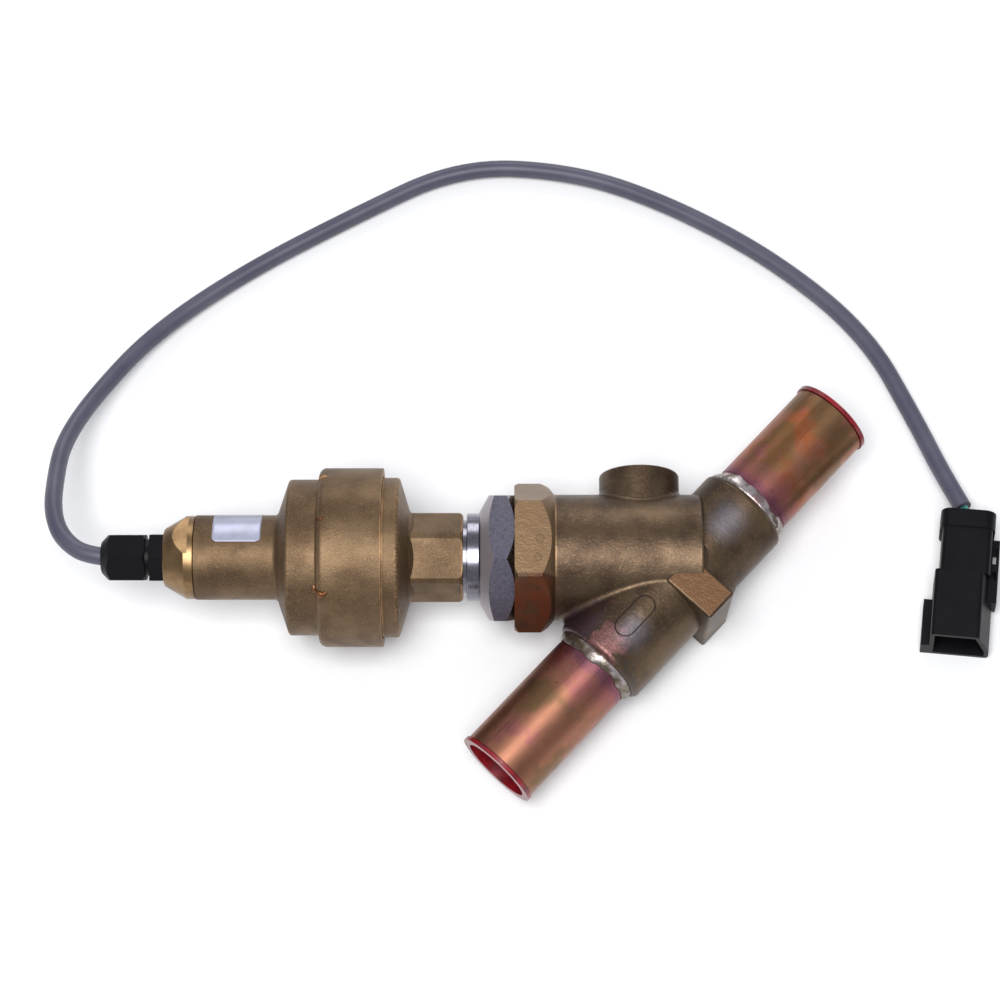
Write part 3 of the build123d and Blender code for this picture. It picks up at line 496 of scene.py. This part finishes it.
dress(mouldedPlastic("glandPlastic", "valve", "040406", 0.42, dark=True), "gland_body", "gland_nut")
dress(mouldedPlastic("connectorPlastic", "connector", "050508", 0.44, dark=True), "connector_shell")
dress(mouldedPlastic("wedgePlastic", "connector", "2e6b57", 0.42), "connector_wedge")
dress(mouldedPlastic("bobbinPlastic", "valve", "3a3a3c", 0.5), "bobbin_front", "bobbin_rear", "rear_bush",
      "terminal_board", "seat_seal")
dress(mouldedPlastic("sealRubber", "valve", "141414", 0.6), "bonnet_o_ring", "housing_o_ring",
      "end_cap_o_ring", "gland_seal", "connector_seal")

# Grey cable sheath: satin, with a faint mottle
sheathGrey = {"grey": colour("50505f"), "shade": colour("434354")}


def sheathPlastic(settings):
    r = Recipe("sheathPlastic")
    place = r.coords()
    mottle = r.noise(place, 0.02, 4.0, 0.6)
    fine = r.noise(place, 0.0008, 2.0)
    skin = r.mix(r.step(mottle, 0.3, 0.7), settings["grey"], settings["shade"])
    return r.finish(Base_Color=skin, Roughness=r.blendValue(mottle, 0.38, 0.5), Normal=r.bump(fine, 0.00001))


dress(sheathPlastic(sheathGrey), "greyCable")


def coreColours():
    # each core's insulation has its own colour, chosen by where it lies in the connector
    r = Recipe("coreColours")
    _, across, up = r.axes(r.coords("connector"))
    left = r.maths("GREATER_THAN", across, 0.0)
    high = r.maths("GREATER_THAN", up, 0.0091)
    skin = r.mix(high, r.mix(left, colour("c9c9cc"), colour("2b2b2e")), r.mix(left, colour("3f9186"), colour("b0392e")))
    scuffs = r.noise(r.coords(), 0.0009, 3.0)
    skin = r.mix(r.maths("MULTIPLY", r.step(scuffs, 0.55, 0.75), 0.2), skin, colour("dddddd"))
    return r.finish(Base_Color=skin, Roughness=0.38, Normal=r.bump(scuffs, 0.000008))


dress(coreColours(), "core_wires", "cable_cores")


def plainMetal(name, base, shade, rough, grain, depth, metallic=1.0):
    r = Recipe(name)
    place = r.coords("valve")
    cloud = r.noise(place, grain * 12, 3.0)
    skin = r.mix(r.step(cloud, 0.35, 0.7), colour(base), colour(shade))
    return r.finish(Base_Color=skin, Metallic=metallic, Roughness=r.blendValue(cloud, rough, rough + 0.12),
                    Normal=r.bump(r.noise(place, grain, 2.0), depth))


dress(plainMetal("canSteel", "c4c4c8", "9c9ca2", 0.22, 0.0005, 0.00001), "rotor_can", "bearing_outer_ring",
      "bearing_inner_ring", "bearing_balls", "lead_screw", "seat_ring")
dress(plainMetal("cupSteel", "9b9ca0", "7b7c80", 0.4, 0.0006, 0.00002), "stator_front_cup", "stator_rear_cup")
dress(plainMetal("cageBrass", "b8924f", "94723c", 0.32, 0.0005, 0.00001), "guide_cage", "piston", "screw_nut")
dress(plainMetal("magnetGrey", "4e4e52", "3a3a3d", 0.5, 0.0004, 0.00002, 0.4), "rotor_magnet", "rotor_hub")
dress(plainMetal("contactTin", "c9c3b2", "a49f90", 0.28, 0.0005, 0.00001), "connector_pins")


def windingCopper():
    # enamelled turns side by side: fine rings along the winding
    r = Recipe("windingCopper")
    place = r.coords("valve")
    rings = r.node("TexWave", {"Vector": place, "Scale": 900.0, "Distortion": 0.6}, "Fac", wave_type="BANDS")
    skin = r.mix(rings, colour("7a3a1c"), colour("c2743f"))
    return r.finish(Base_Color=skin, Metallic=0.9, Roughness=0.3, Normal=r.bump(rings, 0.00005))


dress(windingCopper(), "coil_front", "coil_rear", "winding_leads")
print("inner pieces dressed")


def gridPiece(name, points, wrapRows=False, wrapColumns=False, closeEnds=False):
    # rows and columns of points become quads; a wrapped side joins its last line to its first,
    # and closed ends put one face over the first row and one over the last
    rows, columns = points.shape[:2]
    index = np.arange(rows * columns).reshape(rows, columns)
    if wrapRows:
        index = np.vstack([index, index[:1]])
    if wrapColumns:
        index = np.hstack([index, index[:, :1]])
    quads = np.stack([index[:-1, :-1], index[:-1, 1:], index[1:, 1:], index[1:, :-1]], axis=-1).reshape(-1, 4)
    faces = quads.tolist()
    if closeEnds:
        faces += [index[0, :columns][::-1].tolist(), index[-1, :columns].tolist()]
    mesh = bpy.data.meshes.new(name)
    mesh.from_pydata(points.reshape(-1, 3).tolist(), [], faces)
    mesh.shade_smooth()
    piece = bpy.data.objects.new(name, mesh)
    bpy.context.scene.collection.objects.link(piece)
    return piece


def intoTable(points, space):
    # from one of the part's own frames to the table's
    matrix = np.array(frames[space])
    return points @ matrix[:3, :3].T + matrix[:3, 3]


# Silver braze beads: a lumpy ring of metal that ran round each stub where it enters its socket
brazeBead = {
    "legs": 0.0034,
    "height": 0.0019,
    "sink": 0.0009,
    "tubeRadius": 0.01422,
    "lumps": [(3, 0.14, 0.4), (7, 0.09, 1.9), (13, 0.045, 0.7), (29, 0.018, 2.6)],
    "around": 240,
    "profile": 20,
}


def brazeRing(name, settings, rim, direction, phase):
    # a closed half-moon profile is turned round the tube; sums of waves round it vary its reach and height
    around = np.linspace(0, 2 * np.pi, settings["around"], endpoint=False)[None, :]
    profile = np.linspace(0, 2 * np.pi, settings["profile"], endpoint=False)[:, None]
    waves = sum(size * np.sin(count * around + start * (1 + phase)) for count, size, start in settings["lumps"])
    reach = settings["legs"] * (1 + 1.2 * waves)
    rise = settings["height"] * (1 + 0.9 * np.roll(waves, 31, axis=1))
    bulge = np.maximum(np.cos(profile), -0.25)
    run = 0.5 * (1 + np.sin(profile)) * (reach + settings["sink"]) - settings["sink"]
    slope = np.clip(1 - (run + settings["sink"]) / (reach + settings["sink"]), 0, 1)
    radius = settings["tubeRadius"] + np.clip(bulge, -0.1, 1) * rise * (0.25 + 0.75 * slope)
    points = np.stack([rim + direction * run + 0 * around, radius * np.sin(around), radius * np.cos(around)], axis=-1)
    # taken the other way round where the bead points to the outlet, so that its faces look outward
    piece = gridPiece(name, intoTable(points[:, ::-direction], "tube"), wrapRows=True, wrapColumns=True)
    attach(piece, "root")
    return piece


def brazeSilver():
    r = Recipe("brazeSilver")
    place = r.coords("tube")
    crust = r.noise(place, 0.0035, 3.0, 0.55)
    fine = r.noise(place, 0.0007, 3.0, 0.6)
    flux = r.noise(place, 0.011, 2.0)
    skin = r.mix(r.step(crust, 0.44, 0.66), colour("beb5b4"), colour("6a5d4d"))
    skin = r.mix(r.maths("MULTIPLY", r.step(flux, 0.44, 0.6), 0.75), skin, colour("655a45"))
    skin = r.mix(r.maths("MULTIPLY", r.step(flux, 0.42, 0.3), 0.6), skin, colour("96706c"))
    skin = r.mix(r.maths("MULTIPLY", r.step(fine, 0.56, 0.72), 0.5), skin, colour("46342c"))
    height = r.maths("ADD", crust, r.maths("MULTIPLY", fine, 0.4))
    return r.finish(Base_Color=skin, Metallic=0.95, Roughness=r.blendValue(crust, 0.18, 0.5),
                    Normal=r.bump(height, 0.00022))


silver = brazeSilver()
for name, rim, direction, phase in [("inletBraze", -0.0517, -1, 0.0), ("outletBraze", 0.0244, 1, 0.8)]:
    bead = brazeRing(name, brazeBead, rim, direction, phase)
    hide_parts(name.replace("Braze", "_braze"))
    bead.data.materials.append(silver)
print("braze beads made")

# Blank foil label on the motor's neck, wrapped from the top over the boss side
foilLabel = {
    "start": -0.1672, "end": -0.1505,
    "radius": 0.01465, "lift": 0.00006, "thickness": 0.00008,
    "from": 5.5, "to": 118.0, "corner": 0.0016,
}


def makeLabel(settings):
    # a rounded rectangle bent round the neck: angle runs down the rows and length across them,
    # and each row near an end is shorter by what the corner's circle takes off it
    rows, columns = 90, 24
    turn = np.radians(np.linspace(settings["from"], settings["to"], rows))
    arc = (turn - turn[0]) * settings["radius"]
    toEnd = np.minimum(arc, arc[-1] - arc)
    corner = settings["corner"]
    bite = corner - np.sqrt(np.clip(corner ** 2 - np.clip(corner - toEnd, 0, corner) ** 2, 0, None))
    share = np.linspace(0, 1, columns)[None, :]
    along = settings["start"] + bite[:, None] + share * (settings["end"] - settings["start"] - 2 * bite[:, None])
    radius = settings["radius"] + settings["lift"]
    points = np.stack([along, radius * np.sin(turn)[:, None] + 0 * along,
                       radius * np.cos(turn)[:, None] + 0 * along], axis=-1)
    piece = gridPiece("foilLabel", intoTable(points, "valve"))
    solid = piece.modifiers.new("thickness", "SOLIDIFY")
    solid.thickness = settings["thickness"]
    solid.offset = 1
    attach(piece, "root")
    return piece


def foilFinish():
    # silvered foil with a soft crease or two and no print
    r = Recipe("labelFoil")
    place = r.coords("valve")
    creases = r.noise(place, 0.009, 2.0)
    scuffs = r.noise(place, 0.006, 3.0)
    skin = r.mix(r.step(scuffs, 0.4, 0.8), colour("adaec2"), colour("9a9bad"))
    _, boss, _ = r.axes(place)
    skin = r.mix(r.maths("MULTIPLY", r.step(boss, 0.0113, 0.0117), 0.5), skin, colour("7c7c88"))
    return r.finish(Base_Color=skin, Metallic=0.35, Roughness=0.34, Normal=r.bump(creases, 0.0002))


makeLabel(foilLabel).data.materials.append(foilFinish())
print("label made")

# Bright crescent burrs where a punch staked the band's back edge
stakeMarks = {
    "places": [(-0.1288, 44.0, 0.0019, 20, 0.00085), (-0.1296, 11.0, 0.0013, 200, 0.0005),
               (-0.1290, -36.0, 0.0024, 165, 0.0013)],
    "bandRadius": 0.03095,
    "sweep": 175.0,
}


def makeStakes(settings):
    # each burr is a thin round section carried along part of a circle on the band and tapered to its ends
    rows, columns = 28, 10
    made = []
    for number, (station, angle, size, start, width) in enumerate(settings["places"]):
        path = np.radians(start + np.linspace(0, settings["sweep"], rows))[:, None]
        section = np.linspace(0, 2 * np.pi, columns, endpoint=False)[None, :]
        thick = width * (0.06 + np.sin(np.linspace(0, np.pi, rows)))[:, None]
        reach = size + thick * np.cos(section)
        along = station + reach * np.cos(path)
        turn = np.radians(angle) + reach * np.sin(path) / settings["bandRadius"]
        edge = np.clip(-0.1284 - along, 0, 0.0024)
        drop = 0.0024 - np.sqrt(np.clip(0.0024 ** 2 - edge ** 2, 0, None))
        radius = settings["bandRadius"] - drop + thick * np.sin(section) * 0.6
        points = np.stack([along, radius * np.sin(turn), radius * np.cos(turn)], axis=-1)
        # the section is taken the other way round, so that the faces look outward
        piece = gridPiece(f"stakeMark{number + 1}", intoTable(points[:, ::-1], "valve"),
                          wrapColumns=True, closeEnds=True)
        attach(piece, "root")
        made.append(piece)
    return made


stakeFinish = plainMetal("stakeBright", "a07c58", "70492f", 0.4, 0.0006, 0.00003)
for mark in makeStakes(stakeMarks):
    mark.data.materials.append(stakeFinish)
print("stake marks made")


def makeFloor():
    # pale table top, just under the part
    mesh = bpy.data.meshes.new("tableTop")
    half = 6.0
    mesh.from_pydata([(-half, -half, -0.0002), (half, -half, -0.0002), (half, half, -0.0002), (-half, half, -0.0002)],
                     [], [(0, 1, 2, 3)])
    floor = bpy.data.objects.new("tableTop", mesh)
    bpy.context.scene.collection.objects.link(floor)
    r = Recipe("tablePaper")
    grain = r.noise(r.coords(), 0.004, 3.0)
    skin = r.mix(grain, colour("f4f4f4"), colour("f0f0f0"))
    mesh.materials.append(r.finish(Base_Color=skin, Roughness=0.75))
    return floor


makeFloor()

# One large soft panel behind the camera, a smaller one from the boss side, and a dim room
lights = {
    "panel": {"place": (-0.42, -0.34, 1.55), "size": 0.9, "power": 26.0},
    "side": {"place": (0.9, 0.9, 0.7), "size": 0.7, "power": 5.0},
    "room": 0.42,
}


def makeLight(name, settings, target):
    data = bpy.data.lights.new(name, "AREA")
    data.size = settings["size"]
    data.energy = settings["power"]
    light = bpy.data.objects.new(name, data)
    place = Vector(settings["place"])
    light.matrix_world = Matrix.Translation(place) @ (target - place).to_track_quat("-Z", "Y").to_matrix().to_4x4()
    bpy.context.scene.collection.objects.link(light)
    return light


for lightName in ("panel", "side"):
    makeLight(lightName + "Light", lights[lightName], Vector((0, 0, 0.02)))
world = bpy.data.worlds.new("dimRoom")
world.use_nodes = True
world.node_tree.nodes["Background"].inputs["Color"].default_value = (0.9, 0.92, 1.0, 1)
world.node_tree.nodes["Background"].inputs["Strength"].default_value = lights["room"]
bpy.context.scene.world = world
bpy.context.scene.view_settings.view_transform = "Standard"
print("floor, lights and room made")
